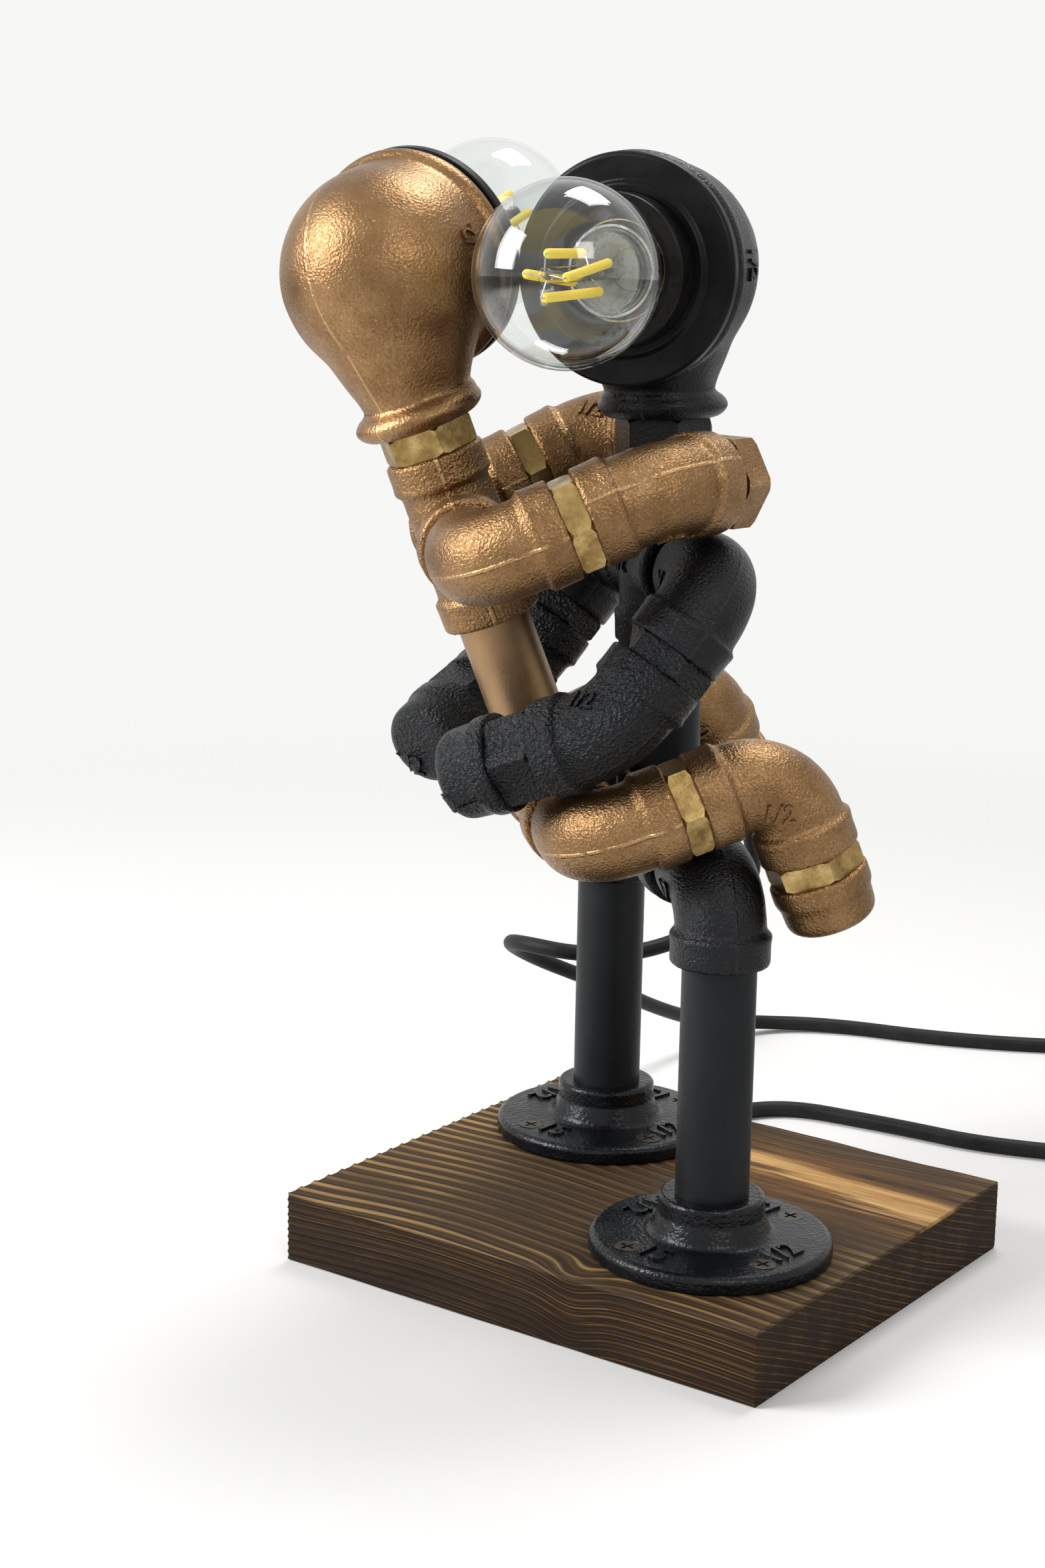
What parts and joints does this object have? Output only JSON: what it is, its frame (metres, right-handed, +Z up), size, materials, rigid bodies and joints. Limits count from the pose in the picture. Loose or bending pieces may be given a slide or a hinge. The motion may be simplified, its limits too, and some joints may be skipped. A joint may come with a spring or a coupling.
{
  "type": "pipe fitting table lamp",
  "caption": "Twin table lamp made of pipe fittings: a black and a bronze figure embrace on a square plank, each with an elbow for a head and a clear globe bulb",
  "frame": {"origin": "on the plank's underside, halfway between the two legs", "axes": "+Z up, +X behind the black figure, -Y to the near side where both figures' near limbs are"},
  "size_m": [0.4395, 0.3289, 0.3375],
  "materials": {
    "plank_wood": "waxed dark pine",
    "black_metal": "satin black over cast iron",
    "black_gloss": "gloss black over steel",
    "bronze_metal": "satin bronze over cast iron",
    "brass_metal": "turned brass",
    "dark_screws": "black phosphate",
    "holder_plastic": "black bakelite, semi-gloss",
    "bulb_glass": "clear glass",
    "cap_metal": "rolled thread, bright",
    "contact_metal": "plain",
    "filament": "yellow phosphor coat",
    "cable_black": "matt flexible sleeve",
    "cord_plastic": "moulded black plastic"
  },
  "bodies": {
    "stand": {"base_plank": "plank_wood", "brass_nipples": "brass_metal", "flange_screws": "dark_screws", "floor_flanges": "black_metal", "inner_cables": "cable_black", "leg_pipes": "black_metal", "man_arm_nipples": "black_gloss", "man_cord": "cable_black", "man_cord_coil": "cable_black", "man_forearm_elbow_far": "black_metal", "man_forearm_elbow_near": "black_metal", "man_hand_caps": "black_metal", "man_hip_elbow_far": "black_metal", "man_hip_elbow_near": "black_metal", "man_neck_nipple": "black_metal", "man_pelvis_tee": "black_metal", "man_plug": "cord_plastic", "man_shoulder_cross": "black_metal", "man_shoulder_elbow_far": "black_metal", "man_shoulder_elbow_near": "black_metal", "man_spine_pipe": "black_metal", "man_strain_relief": "cord_plastic", "man_switch_case": "cord_plastic", "woman_cord": "cable_black", "woman_cord_coil": "cable_black", "woman_foot_caps": "bronze_metal", "woman_forearm_elbow_far": "bronze_metal", "woman_forearm_elbow_near": "bronze_metal", "woman_hand_plugs": "bronze_metal", "woman_hip_elbow_far": "bronze_metal", "woman_hip_elbow_near": "bronze_metal", "woman_knee_elbow_far": "bronze_metal", "woman_knee_elbow_near": "bronze_metal", "woman_neck_nipple": "brass_metal", "woman_pelvis_tee": "bronze_metal", "woman_plug": "cord_plastic", "woman_shoulder_cross": "bronze_metal", "woman_shoulder_elbow_far": "bronze_metal", "woman_shoulder_elbow_near": "bronze_metal", "woman_strain_relief": "cord_plastic", "woman_switch_case": "cord_plastic", "woman_torso_pipe": "bronze_metal"},
    "man_head": {"man_head_elbow": "black_metal", "man_shade_ring": "holder_plastic", "man_lampholder": "holder_plastic", "man_holder_contacts": "contact_metal"},
    "man_bulb_contact_body": {"man_bulb_contact": "contact_metal"},
    "man_bulb": {"man_bulb_glass": "bulb_glass", "man_bulb_cap": "cap_metal", "man_bulb_filaments": "filament"},
    "man_rocker": {"man_switch_rocker": "cord_plastic"},
    "woman_head": {"woman_head_elbow": "bronze_metal", "woman_shade_ring": "holder_plastic", "woman_lampholder": "holder_plastic", "woman_holder_contacts": "contact_metal"},
    "woman_bulb_contact_body": {"woman_bulb_contact": "contact_metal"},
    "woman_bulb": {"woman_bulb_glass": "bulb_glass", "woman_bulb_cap": "cap_metal", "woman_bulb_filaments": "filament"},
    "woman_rocker": {"woman_switch_rocker": "cord_plastic"}
  },
  "joints": [
    {"name": "man_head_turn", "type": "hinge", "parent": "stand", "child": "man_head", "pos_m": [-0.00438, 0, 0.25552], "axis": [-0.0349, 0, 0.9994], "range_deg": [0, 90]},
    {"name": "man_bulb_travel", "type": "slide", "parent": "man_head", "child": "man_bulb_contact_body", "axis": [-0.6262, -0.7793, -0.0219], "range_m": [0, 0.0109]},
    {"name": "man_bulb_screw", "type": "hinge", "parent": "man_bulb_contact_body", "child": "man_bulb", "pos_m": [-0.02427, -0.02291, 0.29715], "axis": [-0.6262, -0.7793, -0.0219], "range_deg": [0, 1080]},
    {"name": "woman_head_turn", "type": "hinge", "parent": "stand", "child": "woman_head", "pos_m": [-0.07385, 0.00507, 0.25291], "axis": [-0.3556, 0.0159, 0.9345], "range_deg": [0, 90]},
    {"name": "woman_bulb_travel", "type": "slide", "parent": "woman_head", "child": "woman_bulb_contact_body", "axis": [0.6718, 0.6995, 0.2437], "range_m": [0, 0.0109]},
    {"name": "woman_bulb_screw", "type": "hinge", "parent": "woman_bulb_contact_body", "child": "woman_bulb", "pos_m": [-0.06914, 0.0263, 0.29961], "axis": [0.6718, 0.6995, 0.2437], "range_deg": [0, 1080]},
    {"name": "man_switch_rock", "type": "hinge", "parent": "stand", "child": "man_rocker", "pos_m": [0.1915, 0.03125, 0.0135], "axis": [-0.4606, -0.8876, 0], "range_deg": [0, 16]},
    {"name": "woman_switch_rock", "type": "hinge", "parent": "stand", "child": "woman_rocker", "pos_m": [0.244, 0.14775, 0.0135], "axis": [-0.2915, -0.9566, 0], "range_deg": [0, 16]}
  ],
  "couplings": [
    {"joint": "man_bulb_travel", "follows": "man_bulb_screw", "m_per_rad": 0.00057614},
    {"joint": "woman_bulb_travel", "follows": "woman_bulb_screw", "m_per_rad": 0.00057614}
  ]
}
